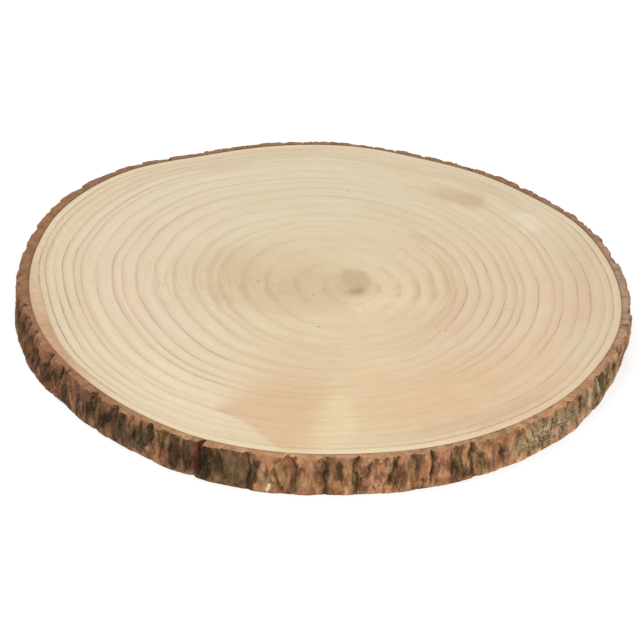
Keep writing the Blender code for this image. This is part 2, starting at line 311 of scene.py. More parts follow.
class Finish:
    """A material and short names for the nodes it is made from. Each method adds a node and returns its output."""

    def __init__(self, name):
        self.material = bpy.data.materials.new(name)
        self.material.use_nodes = True
        self.nodes = self.material.node_tree.nodes
        self.links = self.material.node_tree.links
        self.shader = self.nodes["Principled BSDF"]

    def connect(self, value, socket):
        if isinstance(value, bpy.types.NodeSocket):
            self.links.new(value, socket)
        elif isinstance(value, tuple) and socket.type == "RGBA":
            socket.default_value = (*linear(value), 1)
        else:
            socket.default_value = value

    def attribute(self, name, kind="Fac"):
        node = self.nodes.new("ShaderNodeAttribute")
        node.attribute_name = name
        return node.outputs[kind]

    def place(self, scale=(1, 1, 1), shift=(0, 0, 0), of=None):
        mapping = self.nodes.new("ShaderNodeMapping")
        self.links.new(of or self.nodes.new("ShaderNodeTexCoord").outputs["Object"], mapping.inputs["Vector"])
        mapping.inputs["Location"].default_value = shift
        mapping.inputs["Scale"].default_value = scale
        return mapping.outputs["Vector"]

    def math(self, operation, first, second=0.0):
        node = self.nodes.new("ShaderNodeMath")
        node.operation = operation
        self.connect(first, node.inputs[0])
        self.connect(second, node.inputs[1])
        return node.outputs[0]

    def fade(self, value, start, end, low=0.0, high=1.0):
        """Low at start, high at end, smooth between, and level outside."""
        node = self.nodes.new("ShaderNodeMapRange")
        node.interpolation_type = "SMOOTHSTEP"
        self.connect(value, node.inputs["Value"])
        for name, number in (("From Min", start), ("From Max", end), ("To Min", low), ("To Max", high)):
            node.inputs[name].default_value = number
        return node.outputs["Result"]

    def noise(self, place, scale, detail=2.0, roughness=0.5):
        node = self.nodes.new("ShaderNodeTexNoise")
        self.connect(place, node.inputs["Vector"])
        node.inputs["Scale"].default_value = scale
        node.inputs["Detail"].default_value = detail
        node.inputs["Roughness"].default_value = roughness
        return node.outputs["Fac"]

    def cells(self, place, scale):
        """Distance to the nearest of many scattered points."""
        node = self.nodes.new("ShaderNodeTexVoronoi")
        self.connect(place, node.inputs["Vector"])
        node.inputs["Scale"].default_value = scale
        return node.outputs["Distance"]

    def joints(self, place, scale):
        """Distance to the nearest joint of a net of many-sided cells, whose joints waver a little."""
        stirred, node = self.nodes.new("ShaderNodeVectorMath"), self.nodes.new("ShaderNodeTexVoronoi")
        stirred.operation = "MULTIPLY_ADD"
        drifting = self.nodes.new("ShaderNodeTexNoise")
        self.connect(place, drifting.inputs["Vector"])
        drifting.inputs["Scale"].default_value = 1.3 * scale
        self.links.new(drifting.outputs["Color"], stirred.inputs[0])
        stirred.inputs[1].default_value = (0.9 / scale,) * 3
        self.connect(place, stirred.inputs[2])
        node.feature = "DISTANCE_TO_EDGE"
        self.links.new(stirred.outputs["Vector"], node.inputs["Vector"])
        node.inputs["Scale"].default_value = scale
        return node.outputs["Distance"]

    def mix(self, share, first, second, blend="MIX"):
        node = self.nodes.new("ShaderNodeMix")
        node.data_type = "RGBA"
        node.blend_type = blend
        self.connect(share, node.inputs[0])
        self.connect(first, node.inputs[6])
        self.connect(second, node.inputs[7])
        return node.outputs[2]

    def length(self, vector):
        node = self.nodes.new("ShaderNodeVectorMath")
        node.operation = "LENGTH"
        self.links.new(vector, node.inputs[0])
        return node.outputs["Value"]

    def bump(self, height, distance, strength=1.0):
        node = self.nodes.new("ShaderNodeBump")
        self.links.new(height, node.inputs["Height"])
        node.inputs["Distance"].default_value = distance
        node.inputs["Strength"].default_value = strength
        self.links.new(node.outputs["Normal"], self.shader.inputs["Normal"])

    def scaled(self, colour, factor):
        node = self.nodes.new("ShaderNodeVectorMath")
        node.operation = "SCALE"
        self.links.new(colour, node.inputs[0])
        self.connect(factor, node.inputs["Scale"])
        return node.outputs["Vector"]

    def set(self, name, value):
        self.connect(value, self.shader.inputs[name])


wood_low, wood_high = (np.array(corner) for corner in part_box("wood"))
THICKNESS = wood_high[2] - wood_low[2]
outline_angles = np.arange(WOOD_OUTLINE_SIDES) * TURN / WOOD_OUTLINE_SIDES
outline_x = closed_curve(WOOD_EDGE, outline_angles) * np.cos(outline_angles)
outline_y = closed_curve(WOOD_EDGE, outline_angles) * np.sin(outline_angles)
PITH = (wood_low[0] - outline_x.min(), wood_low[1] - outline_y.min())


def make_wood():
    """The round as one closed grid: out along the underside from the pith, up the edge and back in to the pith."""
    angle = np.arange(WOOD_COLUMNS) * TURN / WOOD_COLUMNS
    years = len(RING_ENDS) - 1
    below, above = face_rows(RING_STEPS_BELOW), face_rows(RING_STEPS_ABOVE)[::-1]
    age = np.concatenate([[0], below, [years] * 2, above, [0]])[:, None] + 0 * angle
    count = len(below) + 1
    is_top = (np.arange(len(age)) > count + 1)[:, None] + 0 * angle
    share = ring_share(age, angle)
    distance = share * (closed_curve(WOOD_EDGE, angle) + 0.1 * MM)
    x, y = PITH[0] + distance * np.cos(angle), PITH[1] + distance * np.sin(angle)

    from_line = np.abs(age - np.round(age))
    sunk = 0.1 * MM * np.exp(-(from_line / 0.05) ** 2) + 0.05 * MM * (1 - share)
    sunk += PITH_DEPTH * np.exp(-(distance / (0.6 * PITH_RADIUS)) ** 2)
    sunk += 0.25 * MM * smooth_step(0.997, 1, share)
    z = np.where(is_top, THICKNESS - sunk, sunk)
    z[count] = 0.2 * THICKNESS
    z[count + 1] = 0.8 * THICKNESS
    wood = closed_grid("wood_round", np.stack([x, y, z], -1), ends_meet=False)

    ring_width = ring_share(np.ceil(age), angle) - ring_share(np.ceil(age) - 1, angle)
    turns = angle / TURN + 0 * age
    line = line_strength(age, angle) * np.clip(1 + 0.8 * layered_drift(3, turns, np.round(age) / 20, 15, 20, 3), 0.1, 2)
    late = ring_seen(age, angle) * (0.55 + 0.4 * layered_drift(13, turns, np.round(age) / 20, 9, 20, 2)) + 0.3 * line
    golden = np.clip(lobes(GOLDEN_RIM, angle), 0, 1)
    rim_width = 0.024 + lobes(RIM_WIDTH, angle) + 0.004 * layered_drift(8, turns, 0 * age, 40, 1, 3)
    rim = smooth_step(1 - rim_width, 1 - 0.4 * rim_width, share)
    rim = rim * np.clip(0.25 + lobes(((250, 38, 0.75), (120, 50, 0.4)), angle), 0, 1)
    ray = np.stack(np.broadcast_arrays(np.cos(angle), np.sin(angle), age), -1)
    set_attribute(wood, "age", age, False)
    set_attribute(wood, "ring_place", ray, False)
    set_attribute(wood, "ring_width", ring_width * closed_curve(WOOD_EDGE, angle) / MM, False)
    set_attribute(wood, "line", np.clip(line, 0.02, 1.1), False)
    set_attribute(wood, "late", np.clip(late, 0.04, 1), False)
    set_attribute(wood, "rim", rim, False)
    set_attribute(wood, "golden", golden * smooth_step(18.95, 19.04, age), False)
    set_attribute(wood, "sanded", is_top.astype(float), False)
    rays = lobes(STREAKY_RAYS, angle) * smooth_step(0.92, 0.965, share)
    set_attribute(wood, "rays", rays, False)
    chatter = lobes(CHATTER, angle) * smooth_step(0.12, 0.22, share) * (0.35 + 0.65 * smooth_step(0.75, 0.55, share))
    set_attribute(wood, "chatter", chatter, False)
    set_attribute(wood, "blur", smooth_step(8.5, 5.5, age), False)
    set_attribute(wood, "seen", ring_seen(age, angle), False)
    set_attribute(wood, "tint", face_colour(angle + 0 * age, share, np.where(is_top, 1.0, 0.45)), False)
    return wood


def wood_finish():
    """Cream wood, darker through each ring's late wood to a thin broken line, then open pores in the early wood."""
    f = Finish("sawn_wood")
    place = f.place()
    ring_place = f.attribute("ring_place", "Vector")
    fine = f.noise(place, 900, 3, 0.6)
    streak = f.noise(f.place(scale=(75, 75, 1.6), of=ring_place), 1.0, 3, 0.6)
    along_rings = f.noise(f.place(scale=(3, 3, 2.4), of=ring_place), 1.0, 3, 0.55)
    along_fine = f.noise(f.place(scale=(6, 6, 4), of=ring_place), 1.0, 3, 0.6)

    jitter = f.math("MULTIPLY", f.math("SUBTRACT", f.noise(place, 260, 3), 0.5), 0.9)
    year = f.math("FRACT", f.attribute("age"))
    width = f.attribute("ring_width")
    outside = f.math("ADD", f.math("MULTIPLY", year, width), jitter)
    inside = f.math("SUBTRACT", f.math("MULTIPLY", f.math("SUBTRACT", 1.0, year), width), jitter)
    line = f.math("MAXIMUM", f.fade(inside, 0.75, 0.0), f.fade(outside, 0.4, 0.0))
    line = f.math("MULTIPLY", line, f.math("SUBTRACT", 1.0, f.math("MULTIPLY", f.attribute("blur"), 0.6)))
    line = f.math("MULTIPLY", line, f.attribute("line"))
    line = f.math("MULTIPLY", line, f.fade(f.noise(place, 700, 2), 0.25, 0.65, 0.5, 1.0))
    line = f.math("MULTIPLY", line, f.fade(f.noise(place, 75, 2), 0.3, 0.65, 0.55, 1.15))
    late = f.math("MULTIPLY", f.fade(inside, 4.2, 0.0), f.attribute("late"))
    late = f.math("MULTIPLY", late, f.fade(outside, -0.6, 0.9, 1.0, 0.75))
    after = f.math("MULTIPLY", f.fade(outside, 1.6, 0.0), f.attribute("late"))
    wide = f.math("MAXIMUM", f.fade(inside, 5.0, 0.3), f.fade(outside, 2.6, 0.0))
    wide = f.math("MULTIPLY", f.math("MULTIPLY", wide, f.attribute("blur")), f.fade(along_rings, 0.3, 0.6))
    wide = f.math("MULTIPLY", wide, f.attribute("seen"))
    pores = f.math("MULTIPLY", f.fade(f.cells(place, 850), 0.3, 0.12), f.fade(outside, 3.5, 0.2))

    colour = f.attribute("tint", "Color")
    colour = f.mix(f.fade(along_rings, 0.3, 0.7, 0.0, 0.22), colour, (205, 178, 144))
    colour = f.mix(f.math("MULTIPLY", wide, 0.55), colour, (204, 174, 138))
    chatter = f.math("MULTIPLY", f.fade(along_fine, 0.45, 0.62), f.attribute("chatter"))
    colour = f.mix(f.math("MULTIPLY", chatter, 0.5), colour, (186, 158, 122))
    rays = f.math("ADD", f.math("MULTIPLY", f.attribute("rays"), 0.3), 0.06)
    colour = f.mix(f.math("MULTIPLY", f.fade(streak, 0.42, 0.65), rays), colour, (184, 154, 122))
    colour = f.mix(f.fade(fine, 0.35, 0.75, 0.0, 0.12), colour, (196, 168, 130))
    colour = f.mix(f.math("MULTIPLY", f.attribute("rim"), 0.5), colour, (233, 216, 184))
    golden = f.mix(f.fade(streak, 0.3, 0.7), (196, 154, 112), (182, 137, 98))
    colour = f.mix(f.math("MULTIPLY", f.attribute("golden"), 0.9), colour, golden)
    colour = f.mix(f.math("MULTIPLY", f.math("MAXIMUM", late, after), 0.5), colour, (204, 170, 138))
    colour = f.mix(f.math("MULTIPLY", line, 0.66), colour, (138, 112, 90))
    colour = f.mix(f.math("MULTIPLY", pores, 0.2), colour, (150, 122, 92))
    for x, y, radius in SPECKS:
        away = f.length(f.place(scale=(1, 1.6, 1), shift=(-PITH[0] - x * MM, 1.6 * (-PITH[1] - y * MM), -THICKNESS)))
        colour = f.mix(f.fade(away, radius * MM, 0.3 * radius * MM, 0.0, 0.6), colour, (92, 72, 56))
    rough_sawn = f.math("SUBTRACT", 1.0, f.attribute("sanded"))
    colour = f.mix(f.math("MULTIPLY", rough_sawn, 0.22), colour, (176, 152, 118))
    f.set("Base Color", colour)
    f.set("Roughness", f.fade(fine, 0.2, 0.8, 0.5, 0.68))
    f.set("Specular IOR Level", 0.3)

    saw_marks = f.noise(f.place(scale=(12, 420, 1)), 1.0, 2)
    height = f.math("ADD", f.math("MULTIPLY", fine, 0.35), f.math("MULTIPLY", streak, 0.3))
    height = f.math("SUBTRACT", height, f.math("MULTIPLY", pores, 0.5))
    height = f.math("ADD", height, f.math("MULTIPLY", f.math("MULTIPLY", saw_marks, rough_sawn), 1.6))
    f.bump(height, 0.12 * MM)
    return f.material


wood = make_wood()
wood.data.materials.append(wood_finish())
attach(wood, "root")
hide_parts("wood")

# The bark
# The corky outer bark of the same trunk, still on all round. It split lengthways into plates as the trunk grew
# fatter. The plates are olive-brown where they are old, and tan where the saw or handling has broken them.
BARK_DEPTH = MM * np.array([5.8, 5.2, 5.4, 5.4, 5.4, 6.9, 7.6, 7.4, 6.8, 6.8, 6.8, 6.0])
THINNEST_BARK = 1.6 * MM
FOOT_OUT = MM * np.array([
    0.0, 0.0, 0.0, 0.0, 0.0, 0.0, 0.0, 0.0, 0.0, 0.0, 0.8, 2.2,
    2.5, 1.7, 0.8, 0.8, 1.3, 1.7, 1.3, 0.6, -0.2, -0.5, -1.7, -1.2,
])
WORN_BACK = MM * np.array([
    0.4, 0.4, 0.4, 0.4, 0.4, 0.4, 0.4, 0.4, 0.4, 0.3, 0.2, 0.6,
    1.6, 3.0, 1.9, 1.6, 1.4, 1.2, 1.1, 1.1, 1.1, 1.1, 0.9, 0.5,
])
LONG_FURROWS = (
    7, 19, 24, 31, 40, 49, 56.5, 62.5, 69.5, 74, 80.5, 85.5, 90, 94.5, 103.5, 114, 119.5, 126, 131,
    144, 153.5, 159, 165.5, 175.5, 185, 194, 201, 208, 217, 222.5, 231, 241.5, 250.5, 257, 263.5,
    269.5, 276, 283, 287.5, 291, 296, 303, 310, 318, 325, 331, 337, 346, 356,
)
DEEPEST_FURROW = 241.5
PLATE_WIDTH = 11.0 * MM
CROWN = 0.35 * MM
SHINGLE_TILT = 2.2 * MM
SHINGLE_DIRECTION = math.radians(140)
SHINGLED = (102, 172)
BARK_SEED = 11
CHIP_REACH = 1.6 * MM
LOWER_CHIP = 0.4
BARK_COLUMNS = 2240
BARK_LEVELS = 34
# Cracks that run in from the outside across the sawn face: direction, half width in mm and how far in they reach.
FACE_CRACKS = (
    (185, 0.35, 0.75), (208, 0.45, 0.9), (241.5, 0.8, 1.0), (346, 0.5, 0.9), (62.5, 0.5, 0.6), (126, 0.5, 0.8),
)
# Cracks in the side: half width and depth in mm, and then the places that each runs through, as direction in
# degrees and height in mm.
SIDE_CRACKS = (
    (1.2, 1.5, (185, 20.5), (185.6, 15)), (2.0, 2.4, (193.8, 20.5), (194.4, 14)), (1.3, 1.8, (202, 20.5), (202.4, 14)),
    (1.7, 2.2, (206.8, 20.5), (206.4, 14)), (1.3, 1.8, (216.8, 20.5), (216.5, 14)),
    (1.4, 1.9, (222.8, 20.5), (223.2, 14)), (1.1, 1.5, (231.2, 20.5), (231.3, 15)), (1.0, 1.2, (190.6, 20), (191, 15)),
    (0.8, 1.2, (188, 20), (188.5, 11), (190, 3)), (0.7, 1.1, (192.5, 18), (191.5, 8)),
    (0.8, 1.4, (195.5, 20), (196.6, 15), (197.6, 10), (198, 4)), (0.7, 1.3, (202.6, 20), (202.2, 15), (201.6, 9)),
    (0.8, 1.4, (206.2, 14), (207.8, 7), (207.6, 0)), (0.6, 1.2, (208, 20), (208.4, 14)),
    (0.6, 1.0, (204.2, 18), (204, 12), (203.4, 7)), (0.6, 0.9, (210, 18), (210.6, 12)),
    (0.9, 1.5, (216.6, 20), (216.4, 15), (217.2, 8)), (0.7, 1.4, (222, 18), (220.8, 12), (219.8, 6)),
    (0.6, 1.5, (223.6, 20), (222.7, 16), (222.6, 4)), (0.5, 0.9, (226.6, 19), (227.2, 11), (226.9, 6)),
    (0.6, 1.0, (228.8, 19), (229.2, 12), (228.6, 6)), (0.9, 1.4, (231.4, 20), (231.2, 14.7), (231.8, 6)),
    (0.5, 1.0, (232.9, 20), (233.5, 17), (233.6, 5)), (0.5, 0.8, (238.4, 19), (238.2, 8)),
    (0.9, 2.0, (241.6, 20), (241.4, 12), (241.2, 1)), (0.6, 1.1, (243.6, 18), (243.4, 8), (243.9, 2)),
    (0.7, 1.3, (245.0, 18), (245.2, 11), (245.6, 6)), (0.7, 1.3, (249.8, 20), (250.2, 16), (250.7, 11), (250.4, 0)),
    (0.5, 0.9, (251.2, 17), (252.2, 12), (251.8, 6)), (0.7, 1.3, (254.8, 14.7), (255.3, 9), (256.1, 2)),
    (0.6, 1.3, (256.9, 20), (258.2, 18.2), (258.8, 14.7), (258.9, 10.7), (258.6, 0)),
    (0.45, 1.0, (259, 20), (258.3, 18)), (0.7, 1.3, (263.3, 20), (263.6, 15), (263.5, 9), (263.8, 0)),
    (0.6, 1.3, (270, 20), (269.2, 17), (269, 12.7), (269.7, 8), (269.2, 0)),
    (0.5, 1.1, (269.7, 8), (271.2, 10), (271.7, 13.3), (271.1, 16)), (0.4, 0.8, (272.3, 19), (271.8, 16.6)),
    (0.4, 0.8, (271.9, 6), (272.9, 2.5)), (0.4, 0.7, (274.8, 20), (275.3, 16)),
    (0.6, 1.2, (276.6, 20), (276.1, 17), (275.8, 12.7), (275, 7)), (0.4, 0.8, (279.9, 18.5), (279.8, 14.5)),
    (0.5, 0.9, (280.3, 17), (280.1, 12)), (0.4, 0.8, (281.2, 7), (281.8, 3.5)),
    (0.7, 1.3, (283.1, 20), (283, 13), (282.6, 2)), (0.6, 1.1, (286.7, 18), (286.6, 12), (286.9, 6)),
    (0.5, 1.0, (288.3, 16.5), (288.5, 8)), (0.6, 1.1, (291, 19), (290.4, 16), (290.8, 7), (291.2, 1)),
    (0.5, 1.0, (292, 15), (293, 10), (293.4, 6)), (0.4, 0.7, (295, 13), (295.2, 5)),
    (0.6, 1.1, (296.3, 16), (296.7, 12.7), (297.2, 7)), (0.5, 0.9, (300.5, 20), (300.6, 16)),
    (0.5, 0.8, (303.6, 18), (304.6, 9)), (0.5, 0.8, (309, 17), (308.4, 6)), (0.6, 1.0, (317.2, 20), (317.8, 13)),
    (0.6, 1.0, (324.8, 20), (326, 15), (326.6, 8)), (0.5, 1.0, (329.2, 20), (329.8, 12), (329.2, 6)),
    (0.6, 1.0, (333.6, 18), (334, 10)), (0.5, 0.9, (337, 20), (337.8, 13)),
)
# Patches of the side: direction, height in mm, half width and half height in mm, how far it leans sideways for each
# mm up, how soft its edge is, colour and strength.
SIDE_PATCHES = (
    (204, 12, 84, 16, 0, 0.5, (102, 74, 52), 0.9), (243, 11, 25, 16, 0, 0.45, (90, 67, 46), 0.9),
    (187, 12, 14, 10, 0.3, 0.7, (88, 68, 52), 0.6), (194.4, 17.5, 3.6, 5.5, 0.3, 0.4, (44, 31, 27), 0.95),
    (198, 11, 1.5, 7, 0.2, 0.6, (84, 58, 36), 0.7), (202.2, 15.5, 2.8, 7.5, 0.25, 0.4, (46, 33, 28), 0.92),
    (205.8, 16, 4.6, 6, 0.2, 0.4, (50, 40, 27), 0.92), (206.5, 19.5, 3, 2, 0, 0.6, (84, 76, 42), 0.6),
    (196.2, 6, 4.4, 5.5, 0.3, 0.6, (160, 108, 86), 0.75), (200.2, 5.5, 3.2, 5, 0.3, 0.6, (158, 114, 82), 0.65),
    (199.4, 12, 1.6, 7, 0.2, 0.5, (140, 104, 76), 0.6), (191.4, 12, 2, 8, 0.3, 0.6, (128, 104, 80), 0.5),
    (205.3, 4, 4.4, 5, 0.3, 0.6, (152, 102, 80), 0.8), (209.4, 15, 2.4, 5.5, 0, 0.6, (82, 68, 44), 0.7),
    (211.6, 8, 4.4, 8, 0.1, 0.5, (152, 112, 84), 0.85), (213.7, 13, 2.2, 8, -0.1, 0.5, (108, 88, 72), 0.75),
    (216.6, 15, 2.8, 8, -0.1, 0.4, (46, 38, 25), 0.92), (218.3, 7, 1.8, 6.5, 0.15, 0.6, (156, 116, 88), 0.8),
    (219.5, 17, 2.6, 3, 0, 0.6, (100, 89, 46), 0.8), (221, 12, 2.8, 7, 0.4, 0.4, (44, 31, 29), 0.92),
    (223.2, 19, 2.2, 4, -0.3, 0.4, (42, 31, 24), 0.92), (225.4, 12, 5.0, 9, 0, 0.35, (82, 67, 49), 0.92),
    (229, 11, 5.4, 9, 0, 0.35, (66, 55, 36), 0.92), (231.4, 14, 2.8, 9, 0, 0.4, (44, 37, 24), 0.9),
    (234, 13, 2.4, 7, 0, 0.5, (92, 80, 48), 0.8), (236.3, 11, 3.6, 12, 0, 0.2, (66, 49, 38), 0.95),
    (239.2, 12, 3.2, 9, 0, 0.5, (66, 52, 35), 0.85), (240.9, 11, 3.0, 13, 0.1, 0.35, (98, 57, 46), 0.9),
    (243, 12, 2.8, 10, 0, 0.35, (44, 34, 24), 0.92), (246.8, 16, 3, 6, 0, 0.6, (104, 84, 64), 0.7),
    (245.2, 10, 2.6, 8, 0, 0.4, (64, 54, 33), 0.85), (248.6, 9, 3, 8, 0, 0.5, (98, 84, 56), 0.75),
    (251.2, 9, 3.0, 9, 0.1, 0.4, (62, 52, 32), 0.92), (253.6, 7, 2.2, 6, 0, 0.5, (132, 112, 78), 0.75),
    (256.8, 6, 2.6, 7, -0.2, 0.5, (160, 126, 86), 0.75), (255.2, 12, 1.8, 5, -0.3, 0.5, (164, 122, 86), 0.7),
    (254.1, 3, 0.8, 2.2, 0.2, 0.3, (224, 198, 160), 0.9), (215, 2.5, 26, 2.6, 0, 0.8, (150, 110, 84), 0.7),
    (258.4, 11, 1.6, 9, 0.1, 0.6, (110, 88, 58), 0.75), (264.0, 9, 1.8, 10.5, 0, 0.5, (100, 84, 54), 0.85),
    (266.3, 12.6, 1.5, 5.8, 0, 0.3, (86, 72, 45), 0.95), (262.2, 12, 2.2, 5, 0, 0.6, (138, 114, 78), 0.6),
    (269.2, 12, 1.8, 9, 0.05, 0.6, (106, 84, 54), 0.75), (271.0, 13.2, 2.0, 3.6, 0, 0.5, (96, 80, 50), 0.8),
    (271.6, 16, 1.4, 4, 0.4, 0.6, (108, 84, 56), 0.6), (276, 15, 1.6, 5.5, 0.2, 0.45, (86, 71, 45), 0.9),
    (275.1, 7, 1.2, 3, 0.2, 0.6, (98, 76, 50), 0.7), (279.1, 17.4, 1.9, 2.8, 0, 0.5, (116, 100, 70), 0.8),
    (280.3, 12, 0.9, 6, 0.1, 0.6, (116, 92, 62), 0.6), (283, 12.5, 1.7, 9.5, 0.05, 0.35, (86, 72, 44), 0.95),
    (287.4, 11, 3.0, 7.6, 0, 0.35, (110, 92, 62), 0.9), (290.3, 15.0, 2.3, 2.8, 0, 0.45, (82, 69, 41), 0.9),
    (289.9, 3.6, 3.6, 3.8, 0, 0.5, (122, 94, 68), 0.7), (292.6, 10, 1.8, 5.8, -0.25, 0.4, (96, 80, 50), 0.9),
    (295, 8, 1.1, 4.5, 0, 0.5, (112, 88, 58), 0.7), (297.1, 10.5, 1.9, 6, -0.2, 0.4, (104, 86, 56), 0.9),
    (300.4, 16, 1.3, 4.5, 0, 0.5, (100, 84, 54), 0.8), (291.4, 7, 0.9, 6, -0.1, 0.6, (186, 146, 104), 0.6),
    (289, 10, 0.8, 4.5, 0.2, 0.6, (188, 150, 108), 0.6), (294.2, 8, 0.8, 5.5, -0.15, 0.6, (186, 142, 102), 0.5),
    (308, 11.2, 24, 8.6, 0, 0.2, (146, 121, 90), 0.95), (327, 11.5, 28, 9, 0, 0.4, (140, 116, 86), 0.9),
    (326.8, 13, 2.2, 7.5, -0.2, 0.4, (84, 72, 40), 0.9), (320.5, 14, 3.5, 4.5, 0, 0.6, (108, 96, 76), 0.8),
    (318.2, 14, 1.0, 6.5, 0, 0.5, (84, 72, 50), 0.8), (323.4, 14, 1.2, 6, -0.1, 0.5, (92, 80, 54), 0.8),
    (329.6, 12, 1.2, 7, -0.1, 0.5, (96, 80, 52), 0.8), (333.8, 13, 1.8, 4.2, 0, 0.45, (84, 66, 44), 0.9),
    (325, 13, 0.9, 6, 0.1, 0.5, (186, 166, 136), 0.7), (331.6, 12, 1.0, 6, 0, 0.5, (184, 160, 128), 0.7),
    (321.8, 12, 0.8, 6, 0, 0.5, (184, 162, 132), 0.6), (338, 8, 6, 6, 0, 0.6, (160, 132, 106), 0.6),
    (336.4, 13, 1.2, 6, 0, 0.5, (122, 96, 68), 0.6), (341, 12, 1.4, 7, 0, 0.5, (140, 108, 80), 0.5),
    (350, 12, 22, 7, 0, 0.5, (142, 112, 84), 0.6), (12, 11, 30, 7, 0, 0.5, (118, 98, 72), 0.8),
    (36, 12, 26, 6, 0, 0.5, (126, 106, 78), 0.7), (62, 10, 36, 8, 0, 0.5, (104, 86, 60), 0.85),
    (96, 13, 40, 6.5, 0, 0.5, (112, 90, 64), 0.75), (124, 11, 30, 8, 0, 0.5, (96, 76, 54), 0.85),
    (150, 12, 30, 8, 0, 0.5, (112, 90, 64), 0.8), (306, 1, 44, 2.4, 0, 0.8, (190, 148, 110), 0.7),
)
# Where lichen grows on the old bark in pale specks: direction, spread and strength.
LICHEN = ((308, 9, 1.0), (229, 4, 0.2), (62, 12, 0.7), (140, 10, 0.5), (12, 8, 0.4))
BARK_TAN = ((124, 87, 60), (167, 123, 87), (192, 148, 112))


def furrow_directions():
    """The long furrows, and between each two of them the short ones, about a plate's width apart."""
    chance = random.Random(BARK_SEED)
    found = []
    for start, end in zip(LONG_FURROWS, LONG_FURROWS[1:] + (LONG_FURROWS[0] + 360,)):
        middle = math.radians((start + end) / 2)
        width = math.radians(end - start) * float(closed_curve(WOOD_EDGE, middle))
        is_shingled = SHINGLED[0] < start < SHINGLED[1]
        plates = max(1, round(width / PLATE_WIDTH / (1.7 if is_shingled else 1)))
        found.append((start, True))
        for step in range(1, plates):
            share = (step + chance.uniform(-0.22, 0.22)) / plates
            found.append((start + share * (end - start), False))
    return found


def grow_bark():
    """Every furrow and the plate after it, as a dict of arrays.

    A furrow leans and bows. It is deepest and widest at its middle height, and "open" and "foot" are the
    shares of that depth which it still has at the upper and the lower face. A plate has its own rise and
    tilt, a ledge part of the way up, and a chip at the sawn edges.
    """
    chance = random.Random(BARK_SEED + 1)
    plates = []
    for direction, is_long in furrow_directions():
        deep = chance.uniform(1.7, 2.9) if is_long else chance.uniform(0.6, 1.7)
        is_deepest = direction == DEEPEST_FURROW
        is_worn = 190 < direction < 235
        plates.append({
            "angle": math.radians(direction),
            "depth": MM * (5.2 if is_deepest else deep),
            "open": 0.85 if is_deepest else chance.uniform(0.1, 0.4) * (1.8 if is_worn else 1),
            "foot": 0.45 if is_deepest else chance.uniform(0, 0.2),
            "half": MM * chance.uniform(0.9, 2.2),
            "middle": THICKNESS * chance.uniform(0.36, 0.62),
            "reach": THICKNESS * chance.uniform(0.22, 0.42),
            "lean": MM * chance.uniform(-3.0, 3.0),
            "bow": MM * chance.uniform(-1.1, 1.1),
            "rise": chance.uniform(0.94, 1.06),
            "tilt": MM * chance.uniform(-0.8, 0.8),
            "ledge": MM * chance.uniform(-0.5, 0.5),
            "ledge_height": THICKNESS * chance.uniform(0.25, 0.75),
            "chip": MM * chance.uniform(0.4, 1.5),
        })
    return {name: np.array([plate[name] for plate in plates]) for name in plates[0]}


def furrow_path(bark, index, height):
    """The direction of a furrow at a height: it leans, bows and wanders away from its place at the top face."""
    share = height / THICKNESS
    sideways = bark["lean"][index] * (share - 1) + bark["bow"][index] * np.sin(TURN * share)
    count = len(bark["angle"])
    sideways = sideways + 0.6 * MM * layered_drift(30, index / count + 0 * share, share + 0 * index, count, 4, 3)
    return bark["angle"][index] + sideways / closed_curve(WOOD_EDGE, bark["angle"][index])


def bark_point(bark, plate, across, height):
    """Direction, edge of the wood, depth of bark, and how far into a furrow a point is, part way across a plate.

    Depth is the bark's own depth with the plate's rise, tilt, crown and ledge, the foot standing out and the upper
    edge worn back, less a bell curve for the furrow on each side. The last array is the sum of the bell curves.
    """
    following = (plate + 1) % len(bark["angle"])
    start = furrow_path(bark, plate, height)
    end = furrow_path(bark, following, height) + TURN * (following < plate)
    angle = start + across * (end - start)
    edge = closed_curve(WOOD_EDGE, angle)
    width = (end - start) * edge

    outer = closed_curve(BARK_DEPTH, angle) * bark["rise"][plate]
    shingle = np.maximum(0, np.cos(angle - SHINGLE_DIRECTION)) ** 8
    outer += (bark["tilt"][plate] + SHINGLE_TILT * shingle) * (across - 0.5)
    outer += CROWN * (1 - (2 * across - 1) ** 2)
    outer += bark["ledge"][plate] * np.tanh((height - bark["ledge_height"][plate]) / (1.5 * MM))
    outer += closed_curve(FOOT_OUT, angle) * (1 - height / THICKNESS)
    outer -= closed_curve(WORN_BACK, angle) * (height / THICKNESS) ** 2
    within = 0
    for index, away in ((plate, across * width), (following, (1 - across) * width)):
        swell = np.exp(-(((height - bark["middle"][index]) / bark["reach"][index]) ** 2))
        least = bark["foot"][index] + (bark["open"][index] - bark["foot"][index]) * height / THICKNESS
        share = least + (1 - least) * swell
        bell = share * np.exp(-((away / (bark["half"][index] * (0.6 + 0.7 * swell))) ** 2))
        outer -= bark["depth"][index] * bell
        within = within + bell * bark["depth"][index] / (3 * MM)
    return angle, edge, outer, np.clip(within, 0, 1)


def bark_columns(bark):
    """Which plate each column is on and how far across it is: the columns are shared out by the plates' widths."""
    widths = np.diff(bark["angle"], append=bark["angle"][0] + TURN)
    ends = np.round(np.cumsum(widths) / widths.sum() * BARK_COLUMNS).astype(int)
    starts = np.concatenate([[0], ends[:-1]])
    plate = np.repeat(np.arange(len(starts)), ends - starts)
    return plate, (np.arange(BARK_COLUMNS) - starts[plate]) / (ends - starts)[plate]


def face_crack(angle, edge, share):
    """0 to 1 where a crack runs across the sawn face: a bell curve across it that ends part of the way in."""
    crack = 0 * angle
    for direction, half, reach in FACE_CRACKS:
        away = (angle - math.radians(direction)) * edge / (half * MM)
        crack = crack + np.exp(-away ** 2) * smooth_step(0.9 - reach, 1.2 - reach, share)
    return np.clip(crack, 0, 1)


